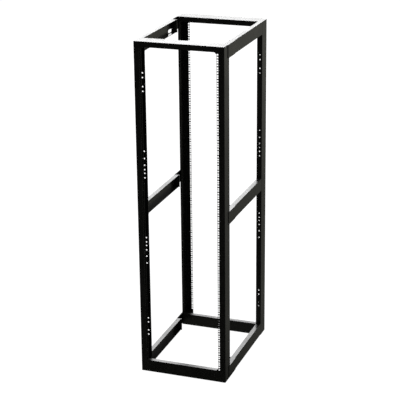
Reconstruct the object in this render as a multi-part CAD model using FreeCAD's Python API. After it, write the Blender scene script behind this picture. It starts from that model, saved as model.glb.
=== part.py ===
"""Four post open frame rack, 44 units high, in millimetres.

X is the width, Y the depth with the front at -Y, and Z is up from the floor.
The sheet is 2.5 mm steel.  The two sides of the rack are the same assembly,
turned half a turn about the vertical axis.
"""
import FreeCAD, Part
import math
import os
from FreeCAD import Vector

# --- driving dimensions ----------------------------------------------------
UNIT = 44.45                 # one rack unit of the hole standard
UNITS = 44
HOLE_SIZE = 9.5              # square hole
HOLE_STEPS = (6.35, 22.225, 38.1)      # hole centres in a unit
HOLE_CENTRES = 465.1         # between the two columns of one frame
OPENING = 453.0              # clear width between the mounting flanges

WIDTH = 545.0
DEPTH = 805.0
HEIGHT = 2070.0
SHEET = 2.5
FRAME_DEPTH = 91.0           # depth of a front or rear frame
BEND = 4.0                   # outside radius of a sheet bend

RAIL_HEIGHT = 75.0           # front and rear bottom rails
SIDE_HEIGHT = 78.0           # side rails
SIDE_CLEARANCE = 4.0         # from the floor to the lowest side rails
RAIL_WIDTH = 27.0
TOP_LIP = 33.0               # face height of the top rails
CORNER = 12.0                # small slanted corner of an opening

WIDE_RETURN = 33.0           # return flange with the accessory holes
NARROW_RETURN = 13.0
ACCESSORY_RADIUS = 4.5
ACCESSORY_INSET = 15.0
HOLE_SIDES = 12
# distances of the accessory holes from the middle of the post
ACCESSORY_STEPS = (190, 218, 241, 269, 310, 355, 719, 747, 801, 829)

PLATE = 3.0                  # end plates and brackets
PLATE_WIDTH = 33.0
BRACKET_REACH = 96.0         # from the rail's end to the narrow-return post
BRACKET_LAP = 26.0           # how far the bracket laps the post's side
SLOT_LENGTH = 60.0
SLOT_HEIGHT = 20.0
SLOT_INSET = 10.0            # from the rail's end to the slot
SLOT_RISE = 6.5              # from the rail's lower edge to the slot

# --- derived places --------------------------------------------------------
LEFT = -WIDTH / 2
FRONT = -DEPTH / 2
REAR = DEPTH / 2
FLANGE = (WIDTH - OPENING) / 2
INNER_FRONT = FRONT + FRAME_DEPTH
INNER_REAR = REAR - FRAME_DEPTH
FIRST_UNIT = RAIL_HEIGHT
TOP_FACE = HEIGHT - TOP_LIP
TOP_LEVEL = HEIGHT - SIDE_HEIGHT
RAIL_LEVELS = {
    "top": TOP_LEVEL,
    "middle": (TOP_LEVEL + SIDE_CLEARANCE) / 2,
    "bottom": SIDE_CLEARANCE,
}


def box(x0, x1, y0, y1, z0, z1):
    """A box between two corners."""
    return Part.makeBox(x1 - x0, y1 - y0, z1 - z0, Vector(x0, y0, z0))


def half_turn(shape):
    """The same shape on the other side of the rack."""
    turned = shape.copy()
    turned.rotate(Vector(0, 0, 0), Vector(0, 0, 1), 180)
    return turned


def arc(start, middle, end):
    """An arc through three points as an edge."""
    return Part.Arc(start, middle, end).toShape()


def bent_channel(flange, web, back):
    """A C section in the XY plane: web on x = 0, flange on y = 0, back on y = web.

    The outside corners are rounded like bent sheet and the inside ones are sharp.
    """
    r = BEND
    k = r * (1 - 0.5 ** 0.5)
    p = [
        Vector(r, 0, 0), Vector(flange, 0, 0), Vector(flange, SHEET, 0), Vector(SHEET, SHEET, 0),
        Vector(SHEET, web - SHEET, 0), Vector(back, web - SHEET, 0), Vector(back, web, 0),
        Vector(r, web, 0), Vector(0, web - r, 0), Vector(0, r, 0),
    ]
    edges = [Part.makeLine(p[i], p[i + 1]) for i in range(7)]
    edges.append(arc(p[7], Vector(k, web - k, 0), p[8]))
    edges.append(Part.makeLine(p[8], p[9]))
    edges.append(arc(p[9], Vector(k, k, 0), p[0]))
    return Part.Face(Part.Wire(edges))


def square_holes(centre_x, y0, y1):
    """The column of square mounting holes, three to each unit."""
    half = HOLE_SIZE / 2
    holes = []
    for unit in range(UNITS):
        for step in HOLE_STEPS:
            z = FIRST_UNIT + unit * UNIT + step
            holes.append(box(centre_x - half, centre_x + half, y0, y1, z - half, z + half))
    return Part.makeCompound(holes)


def accessory_holes(centre_x, y0, y1):
    """The groups of round holes in a wide return flange, each one a twelve-sided prism."""
    turns = [math.radians(360 * (i + 0.5) / HOLE_SIDES) for i in range(HOLE_SIDES + 1)]
    holes = []
    for step in ACCESSORY_STEPS:
        for side in (-1, 1):
            z = HEIGHT / 2 + side * step
            rim = [Vector(centre_x + ACCESSORY_RADIUS * math.cos(a), y0,
                          z + ACCESSORY_RADIUS * math.sin(a)) for a in turns]
            holes.append(Part.Face(Part.makePolygon(rim)).extrude(Vector(0, y1 - y0, 0)))
    return Part.makeCompound(holes)


def front_left_post():
    """Post with the mounting flange in front and the wide return flange behind."""
    post = bent_channel(FLANGE, FRAME_DEPTH, WIDE_RETURN).extrude(Vector(0, 0, HEIGHT))
    post.translate(Vector(LEFT, FRONT, 0))
    post = post.cut(square_holes(-HOLE_CENTRES / 2, FRONT - 1, FRONT + SHEET + 1))
    return post.cut(accessory_holes(LEFT + ACCESSORY_INSET, INNER_FRONT - SHEET - 1, INNER_FRONT + 1))


def rear_left_post():
    """Post with the mounting flange at the rear and a narrow return flange."""
    section = bent_channel(FLANGE, FRAME_DEPTH, NARROW_RETURN)
    post = section.mirror(Vector(0, 0, 0), Vector(0, 1, 0)).extrude(Vector(0, 0, HEIGHT))
    post.translate(Vector(LEFT, REAR, 0))
    return post.cut(square_holes(-HOLE_CENTRES / 2, REAR - SHEET - 1, REAR + 1))


def face_plate(half_width, z_edge, z_outer, y0):
    """The face of a top or bottom rail between the flanges, with slanted corners.

    z_edge is the side that borders the opening and z_outer the outside edge.
    """
    away = 1 if z_edge > z_outer else -1
    outline = [
        (-half_width, z_outer), (half_width, z_outer), (half_width, z_edge + away * CORNER),
        (half_width - CORNER, z_edge), (CORNER - half_width, z_edge),
        (-half_width, z_edge + away * CORNER), (-half_width, z_outer),
    ]
    wire = Part.makePolygon([Vector(x, y0, z) for x, z in outline])
    return Part.Face(wire).extrude(Vector(0, SHEET, 0))


def top_rail(y0, y1, front_edges, rear_edges):
    """A channel that opens downward between two posts, with a lip in front and behind.

    front_edges and rear_edges are the x of the posts' flange edges at each lip.
    """
    inside = WIDTH / 2 - SHEET
    rail = box(-inside, inside, y0 + SHEET, y1 - SHEET, HEIGHT - SHEET, HEIGHT)
    for y, (xa, xb) in ((y0, front_edges), (y1 - SHEET, rear_edges)):
        rail = rail.fuse(box(xa, xb, y, y + SHEET, TOP_FACE, HEIGHT))
    return rail


def front_top_rail():
    half = OPENING / 2
    inner = (LEFT + WIDE_RETURN, -LEFT - NARROW_RETURN)
    rail = top_rail(FRONT, INNER_FRONT, (-half, half), inner)
    return rail.fuse(face_plate(half, TOP_FACE, HEIGHT, FRONT)).removeSplitter()


def rear_top_rail():
    half = OPENING / 2
    inner = (LEFT + NARROW_RETURN, -LEFT - WIDE_RETURN)
    rail = top_rail(INNER_REAR, REAR, inner, (-half, half))
    return rail.fuse(face_plate(half, TOP_FACE, HEIGHT, REAR - SHEET)).removeSplitter()


def bottom_rail(xa, xb, y0):
    """A channel that opens to the rear, standing on the floor."""
    web = box(xa, xb, y0, y0 + SHEET, 0, RAIL_HEIGHT)
    foot = box(xa, xb, y0, y0 + RAIL_WIDTH, 0, SHEET)
    shelf = box(xa, xb, y0, y0 + RAIL_WIDTH, RAIL_HEIGHT - SHEET, RAIL_HEIGHT)
    return web.fuse([foot, shelf])


def front_bottom_rail():
    half = OPENING / 2
    face = face_plate(half, RAIL_HEIGHT, 0, FRONT)
    return bottom_rail(-half, half, FRONT).fuse(face).removeSplitter()


def rear_bottom_rail():
    xa = LEFT + NARROW_RETURN
    xb = -LEFT - WIDE_RETURN
    return bottom_rail(xa, xb, INNER_REAR).removeSplitter()


def side_rail(level):
    """A left side rail: a channel that opens inward, from the front end plate to the rear one."""
    y0 = INNER_FRONT + PLATE
    y1 = INNER_REAR - BRACKET_REACH - PLATE
    z = RAIL_LEVELS[level]
    top = z + SIDE_HEIGHT
    web = box(LEFT, LEFT + SHEET, y0, y1, z, top)
    foot = box(LEFT, LEFT + RAIL_WIDTH, y0, y1, z, z + SHEET)
    shelf = box(LEFT, LEFT + RAIL_WIDTH, y0, y1, top - SHEET, top)
    return web.fuse([foot, shelf]).removeSplitter()


def slot():
    """A long slot with round ends, low in the web near the rear end of the left top rail."""
    r = SLOT_HEIGHT / 2
    y0 = INNER_REAR - BRACKET_REACH - PLATE - SLOT_INSET - SLOT_LENGTH
    z = TOP_LEVEL + SLOT_RISE + r
    ends = [Part.makeCylinder(r, 3 * SHEET, Vector(LEFT - SHEET, y, z), Vector(1, 0, 0))
            for y in (y0 + r, y0 + SLOT_LENGTH - r)]
    middle = box(LEFT - SHEET, LEFT + 2 * SHEET, y0 + r, y0 + SLOT_LENGTH - r, z - r, z + r)
    return middle.fuse(ends)


def end_plate(level, y0):
    """A plate across the end of a left side rail."""
    z = RAIL_LEVELS[level]
    return box(LEFT, LEFT + PLATE_WIDTH, y0, y0 + PLATE, z, z + SIDE_HEIGHT)


def bracket(level):
    """An angle that joins the rear end plate of a left side rail to the side of its post."""
    y0 = INNER_REAR - BRACKET_REACH
    y1 = INNER_REAR + BRACKET_LAP
    z = RAIL_LEVELS[level]
    leg = box(LEFT - PLATE, LEFT + PLATE_WIDTH, y0, y0 + PLATE, z, z + SIDE_HEIGHT)
    strap = box(LEFT - PLATE, LEFT, y0, y1, z, z + SIDE_HEIGHT)
    return leg.fuse(strap).removeSplitter()


def all_parts():
    """Every named piece of the rack."""
    parts = {
        "front_left_post": front_left_post(),
        "rear_left_post": rear_left_post(),
        "front_top_rail": front_top_rail(),
        "front_bottom_rail": front_bottom_rail(),
        "rear_top_rail": rear_top_rail(),
        "rear_bottom_rail": rear_bottom_rail(),
    }
    parts["rear_right_post"] = half_turn(parts["front_left_post"])
    parts["front_right_post"] = half_turn(parts["rear_left_post"])
    for level in RAIL_LEVELS:
        left = {
            "side_rail": side_rail(level),
            "rail_post_plate": end_plate(level, INNER_FRONT),
            "rail_bracket_plate": end_plate(level, INNER_REAR - BRACKET_REACH - PLATE),
            "bracket": bracket(level),
        }
        for name, shape in left.items():
            parts["left_%s_%s" % (level, name)] = shape
            parts["right_%s_%s" % (level, name)] = half_turn(shape)
    parts["left_top_side_rail"] = parts["left_top_side_rail"].cut(slot())
    return parts


os.makedirs("parts", exist_ok=True)
for name, shape in all_parts().items():
    if shape.ShapeType == "Compound" and len(shape.Solids) == 1:
        shape = shape.Solids[0]
    shape.exportStep("parts/%s.step" % name)
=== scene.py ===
"""Looks of the four post open frame rack: black paint, bolts, studio light and camera."""
import math

import bmesh
import bpy
from mathutils import Matrix, Vector

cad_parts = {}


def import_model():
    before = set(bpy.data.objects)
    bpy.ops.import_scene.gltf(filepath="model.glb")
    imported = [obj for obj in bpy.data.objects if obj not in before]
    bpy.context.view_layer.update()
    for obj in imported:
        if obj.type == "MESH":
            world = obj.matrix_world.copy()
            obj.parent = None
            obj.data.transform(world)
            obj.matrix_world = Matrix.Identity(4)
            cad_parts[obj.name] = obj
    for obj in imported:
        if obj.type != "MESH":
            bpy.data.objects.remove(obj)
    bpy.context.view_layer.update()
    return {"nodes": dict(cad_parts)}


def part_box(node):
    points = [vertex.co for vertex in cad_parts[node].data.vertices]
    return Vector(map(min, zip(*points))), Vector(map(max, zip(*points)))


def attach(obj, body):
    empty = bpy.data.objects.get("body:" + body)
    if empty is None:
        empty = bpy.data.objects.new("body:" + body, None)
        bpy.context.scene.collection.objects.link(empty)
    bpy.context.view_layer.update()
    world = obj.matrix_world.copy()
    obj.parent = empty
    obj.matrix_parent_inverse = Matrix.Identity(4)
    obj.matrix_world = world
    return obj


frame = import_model()

# --- the rack, in metres -----------------------------------------------------
POST_LOW, POST_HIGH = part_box("front_left_post")
LEFT = POST_LOW.x
FRONT = POST_LOW.y
INNER_FRONT = POST_HIGH.y    # where the front posts end
INNER_REAR = -INNER_FRONT    # where the rear posts begin
LEVELS = ("bottom", "middle", "top")
SHEET = 0.0025
PLATE = 0.003                # end plates of the side rails
FLANGE_WIDTH = 0.027         # flanges of the side rails
BRACKET_REACH = 0.096        # from a side rail's end to the post its bracket holds

# --- fasteners, in metres ----------------------------------------------------
BOLT_WIDTH = 0.013           # across the flats of an M8 hexagon head
BOLT_HEIGHT = 0.0053
BOLT_CHAMFER = 0.0007
BOLT_SPREAD = 0.02           # from the middle of a rail up or down to a bolt
POST_BOLT_INSET = 0.0155     # from the side of the frame to the bolts at the post
BRACKET_BOLT_INSET = 0.0165  # the same at the bracket
WASHER_RADIUS = 0.008
WASHER_HEIGHT = 0.0014
WASHER_CHAMFER = 0.0003
WASHER_SIDES = 28
SCREW_RADIUS = 0.0035
SCREW_DOME = 0.5             # height of the head over its radius
# across from the left side and up from the floor
FRONT_SCREWS = ((0.052, 0.029), (0.097, 0.027), (0.123, 0.029),
                (0.463, 0.045), (0.480, 0.045), (0.473, 0.027))

# --- studio ------------------------------------------------------------------
FLOOR_REACH = 40.0           # metres each way from the middle
FLOOR_GREY = 0.8
FLOOR_WHITE = 0.8            # share of the floor that glows white to the camera
GLOW_FRONT = -1.0            # metres; the floor's reflected glow grows from here
GLOW_REAR = 7.0              # metres; to here
ROOM_DIM = 0.05              # grey of the room in front of the rack and beside it
ROOM_BRIGHT = 0.55           # grey of the room behind the rack
ROOM_FULL = 0.7              # rearward part of the direction where it is brightest

# --- camera, in metres, degrees and millimetres --------------------------------
CAMERA_PLACE = (2.6038, -7.2401, 3.7276)
CAMERA_AIM = (-0.0251, 0.0, 1.0058)
CAMERA_ROLL = -0.5984
LENS = 119.78
SENSOR_WIDTH = 36.0


# --- objects and nodes -------------------------------------------------------
def add_object(name, data):
    """A new object in the scene."""
    piece = bpy.data.objects.new(name, data)
    bpy.context.scene.collection.objects.link(piece)
    return piece


def aimed(place, aim):
    """The turn that points a lamp or camera from its place at an aim."""
    return (Vector(aim) - Vector(place)).to_track_quat("-Z", "Y")


def new_material(name):
    """A material that uses nodes."""
    material = bpy.data.materials.new(name)
    material.use_nodes = True
    return material


def neutral(value):
    """A plain grey."""
    return (value, value, value, 1.0)


def grey(value):
    """A slightly warm grey."""
    return (value, value, value * 0.88, 1.0)


def noise(tree, scale, detail):
    """A noise texture on object coordinates."""
    coords = tree.nodes.new("ShaderNodeTexCoord")
    node = tree.nodes.new("ShaderNodeTexNoise")
    node.inputs["Scale"].default_value = scale
    node.inputs["Detail"].default_value = detail
    tree.links.new(coords.outputs["Object"], node.inputs["Vector"])
    return node.outputs["Fac"]


def ramp(tree, source, *stops):
    """A colour ramp of a source; each stop is a position and a colour."""
    node = tree.nodes.new("ShaderNodeValToRGB")
    first, last = node.color_ramp.elements
    first.position, first.color = stops[0]
    last.position, last.color = stops[-1]
    for position, colour in stops[1:-1]:
        node.color_ramp.elements.new(position).color = colour
    tree.links.new(source, node.inputs["Fac"])
    return node.outputs["Color"]


def split_y(tree, source):
    """The part of a vector that points from the front of the rack to its rear."""
    node = tree.nodes.new("ShaderNodeSeparateXYZ")
    tree.links.new(source, node.inputs["Vector"])
    return node.outputs["Y"]


def emission(tree, strength):
    """An emission node of one strength."""
    node = tree.nodes.new("ShaderNodeEmission")
    node.inputs["Strength"].default_value = strength
    return node


def mix(tree, factor, first, second):
    """The first shader where the factor is 0 and the second where it is 1."""
    node = tree.nodes.new("ShaderNodeMixShader")
    tree.links.new(factor, node.inputs["Fac"])
    tree.links.new(first, node.inputs[1])
    tree.links.new(second, node.inputs[2])
    return node.outputs["Shader"]


# --- paint -------------------------------------------------------------------
def mottled(tree, source, low, high):
    """A ramp between two greys over the middle of the mottling noise."""
    return ramp(tree, source, (0.35, grey(low)), (0.65, grey(high)))


def black_paint():
    """Semi-gloss black powder coat with faint mottling and a fine orange peel."""
    material = new_material("black_powder_coat")
    tree = material.node_tree
    shader = tree.nodes["Principled BSDF"]
    mottle = noise(tree, scale=9.0, detail=4.0)
    tree.links.new(mottled(tree, mottle, 0.0045, 0.0075), shader.inputs["Base Color"])
    tree.links.new(mottled(tree, mottle, 0.24, 0.32), shader.inputs["Roughness"])
    peel = tree.nodes.new("ShaderNodeBump")
    peel.inputs["Strength"].default_value = 0.12
    peel.inputs["Distance"].default_value = 0.0004
    tree.links.new(noise(tree, scale=900.0, detail=2.0), peel.inputs["Height"])
    tree.links.new(peel.outputs["Normal"], shader.inputs["Normal"])
    shader.inputs["IOR"].default_value = 1.5
    return material


PAINT = black_paint()


def paint_frame():
    """The black paint on every CAD piece."""
    for node in frame["nodes"].values():
        for slot in node.material_slots:
            slot.material = PAINT


def painted_mesh(name, mesh):
    """Painted mesh data from a bmesh, which is freed."""
    data = bpy.data.meshes.new(name)
    mesh.to_mesh(data)
    mesh.free()
    data.materials.append(PAINT)
    return data


def rack_piece(name, data, stance=Matrix()):
    """A piece that belongs to the rack; its paint comes with its mesh."""
    piece = add_object(name, data)
    piece.matrix_world = stance
    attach(piece, "root")


# --- fasteners ---------------------------------------------------------------
def add_prism(mesh, sides, radius, low, high, chamfer):
    """A prism on the Z axis with a chamfered outer end."""
    rings = []
    for z, r in ((low, radius), (high - chamfer, radius), (high, radius - chamfer)):
        ring = []
        for i in range(sides):
            a = 2 * math.pi * i / sides
            ring.append(mesh.verts.new((r * math.cos(a), r * math.sin(a), z)))
        rings.append(ring)
    for lower, upper in zip(rings, rings[1:]):
        for i in range(sides):
            j = (i + 1) % sides
            mesh.faces.new((lower[i], lower[j], upper[j], upper[i]))
    mesh.faces.new(rings[-1])
    mesh.faces.new(list(reversed(rings[0])))


def bolt_mesh():
    """A hexagon head on a washer, standing on the XY plane."""
    mesh = bmesh.new()
    add_prism(mesh, WASHER_SIDES, WASHER_RADIUS, 0.0, WASHER_HEIGHT, WASHER_CHAMFER)
    corner_radius = BOLT_WIDTH / math.sqrt(3)
    top = WASHER_HEIGHT + BOLT_HEIGHT
    add_prism(mesh, 6, corner_radius, WASHER_HEIGHT, top, BOLT_CHAMFER)
    return painted_mesh("bolt", mesh)


def screw_mesh():
    """A low domed screw head; the half below the XY plane is sunk in the sheet."""
    mesh = bmesh.new()
    bmesh.ops.create_uvsphere(mesh, u_segments=24, v_segments=12, radius=SCREW_RADIUS)
    bmesh.ops.scale(mesh, vec=(1.0, 1.0, SCREW_DOME), verts=mesh.verts)
    data = painted_mesh("screw", mesh)
    data.polygons.foreach_set("use_smooth", [True] * len(data.polygons))
    return data


BOLT = bolt_mesh()
SCREW = screw_mesh()


def fastener(name, data, place, outward):
    """One head at a place, standing out along a direction."""
    turn = Vector((0, 0, 1)).rotation_difference(Vector(outward))
    rack_piece(name, data, Matrix.Translation(Vector(place)) @ turn.to_matrix().to_4x4())


def side_bolts(side, turn):
    """Bolts inside the rails of one side, on the end plates; turn is 1 left and -1 right."""
    post_plate = turn * (INNER_FRONT + PLATE)
    bracket_plate = turn * (INNER_REAR - BRACKET_REACH - PLATE)
    for level in LEVELS:
        low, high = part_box("%s_%s_bracket" % (side, level))
        middle = (low.z + high.z) / 2
        for number, z in ((2, middle - BOLT_SPREAD), (1, middle + BOLT_SPREAD)):
            end = "%s_%s_%d" % (side, level, number)
            place = (turn * (LEFT + POST_BOLT_INSET), post_plate, z)
            fastener("bolt_post_plate_" + end, BOLT, place, (0, turn, 0))
            place = (turn * (LEFT + BRACKET_BOLT_INSET), bracket_plate, z)
            fastener("bolt_bracket_" + end, BOLT, place, (0, -turn, 0))


def front_screws():
    """The small screws at both ends of the front bottom rail."""
    for number, (x, z) in enumerate(FRONT_SCREWS, start=1):
        fastener("front_screw_%d" % number, SCREW, (LEFT + x, FRONT, z), (0, -1, 0))


# --- trim --------------------------------------------------------------------
def flange_end(level):
    """The thin end of a right rail's top flange, between its bracket and the front post."""
    low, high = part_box("right_%s_side_rail" % level)
    x_ends = (high.x - FLANGE_WIDTH, high.x)
    y_ends = (INNER_FRONT, INNER_FRONT + BRACKET_REACH - PLATE)
    z_ends = (high.z - SHEET, high.z)
    corners = [(x, y, z) for x in x_ends for y in y_ends for z in z_ends]
    faces = [(0, 1, 3, 2), (4, 6, 7, 5), (0, 4, 5, 1), (2, 3, 7, 6), (0, 2, 6, 4), (1, 5, 7, 3)]
    data = bpy.data.meshes.new("flange_end")
    data.from_pydata(corners, [], faces)
    data.materials.append(PAINT)
    rack_piece("flange_end_%s" % level, data)


# --- stage, light and camera ---------------------------------------------------
def floor_glow(tree):
    """How bright the floor is in reflections: dim in front, brighter far behind."""
    place = tree.nodes.new("ShaderNodeNewGeometry")
    depth = tree.nodes.new("ShaderNodeMapRange")
    depth.inputs["From Min"].default_value = GLOW_FRONT
    depth.inputs["From Max"].default_value = GLOW_REAR
    tree.links.new(split_y(tree, place.outputs["Position"]), depth.inputs["Value"])
    return ramp(tree, depth.outputs["Result"], (0.05, grey(0.04)), (0.18, grey(0.15)),
                (0.55, grey(0.17)), (1.0, grey(0.28)))


def floor_material():
    """Pale and matt to diffuse light, a dim glow in reflections, white to the camera.

    The glow alone is already white to the camera, so the rack's shadow doesn't show on it.
    """
    material = new_material("floor")
    tree = material.node_tree
    tree.nodes.clear()
    rays = tree.nodes.new("ShaderNodeLightPath")
    matt = tree.nodes.new("ShaderNodeBsdfDiffuse")
    matt.inputs["Color"].default_value = neutral(FLOOR_GREY)
    share = tree.nodes.new("ShaderNodeMath")
    share.operation = "MULTIPLY"
    share.inputs[1].default_value = FLOOR_WHITE
    tree.links.new(rays.outputs["Is Camera Ray"], share.inputs[0])
    white = emission(tree, 1.0 / FLOOR_WHITE)
    seen = mix(tree, share.outputs[0], matt.outputs["BSDF"], white.outputs["Emission"])
    glow = emission(tree, 1.0)
    tree.links.new(floor_glow(tree), glow.inputs["Color"])
    seen = mix(tree, rays.outputs["Is Glossy Ray"], seen, glow.outputs["Emission"])
    out = tree.nodes.new("ShaderNodeOutputMaterial")
    tree.links.new(seen, out.inputs["Surface"])
    return material


def floor():
    """A wide flat floor."""
    s = FLOOR_REACH
    data = bpy.data.meshes.new("floor")
    data.from_pydata([(-s, -s, 0), (s, -s, 0), (s, s, 0), (-s, s, 0)], [], [(0, 1, 2, 3)])
    data.materials.append(floor_material())
    piece = add_object("floor", data)


def world():
    """White for the camera; for the light a plain grey room, brighter behind the rack."""
    scene = bpy.context.scene
    scene.world = bpy.data.worlds.new("studio")
    scene.world.use_nodes = True
    tree = scene.world.node_tree
    tree.nodes.clear()
    rays = tree.nodes.new("ShaderNodeLightPath")
    white = tree.nodes.new("ShaderNodeBackground")
    white.inputs["Color"].default_value = neutral(1.0)
    room = tree.nodes.new("ShaderNodeBackground")
    coords = tree.nodes.new("ShaderNodeTexCoord")
    shade = ramp(tree, split_y(tree, coords.outputs["Generated"]),
                 (0.0, neutral(ROOM_DIM)), (ROOM_FULL, neutral(ROOM_BRIGHT)))
    tree.links.new(shade, room.inputs["Color"])
    seen = mix(tree, rays.outputs["Is Camera Ray"], room.outputs["Background"],
               white.outputs["Background"])
    out = tree.nodes.new("ShaderNodeOutputWorld")
    tree.links.new(seen, out.inputs["Surface"])


def area_light(name, place, aim, width, height, power):
    """A soft box that the camera doesn't see."""
    light = bpy.data.lights.new(name, "AREA")
    light.shape = "RECTANGLE"
    light.size = width
    light.size_y = height
    light.energy = power
    piece = add_object(name, light)
    piece.location = place
    piece.rotation_euler = aimed(place, aim).to_euler()
    piece.visible_camera = False


def lights():
    """A wide soft box high behind the rack and one above it."""
    area_light("back_light", place=(-3.2, 9.0, 5.9), aim=(0.0, 0.0, 2.0),
               width=9.0, height=3.6, power=580.0)
    area_light("top_light", place=(0.0, -0.5, 6.5), aim=(0.0, 0.0, 0.0),
               width=4.0, height=4.0, power=160.0)


def camera():
    """A three-quarter view from the front and above."""
    data = bpy.data.cameras.new("camera")
    data.sensor_width = SENSOR_WIDTH
    data.lens = LENS
    piece = add_object("camera", data)
    turn = aimed(CAMERA_PLACE, CAMERA_AIM).to_matrix().to_4x4()
    roll = Matrix.Rotation(math.radians(CAMERA_ROLL), 4, "Z")
    piece.matrix_world = Matrix.Translation(Vector(CAMERA_PLACE)) @ turn @ roll
    bpy.context.scene.camera = piece


paint_frame()
side_bolts("left", 1)
side_bolts("right", -1)
front_screws()
for level in LEVELS:
    flange_end(level)
floor()
world()
lights()
camera()
bpy.context.scene.view_settings.view_transform = "Standard"
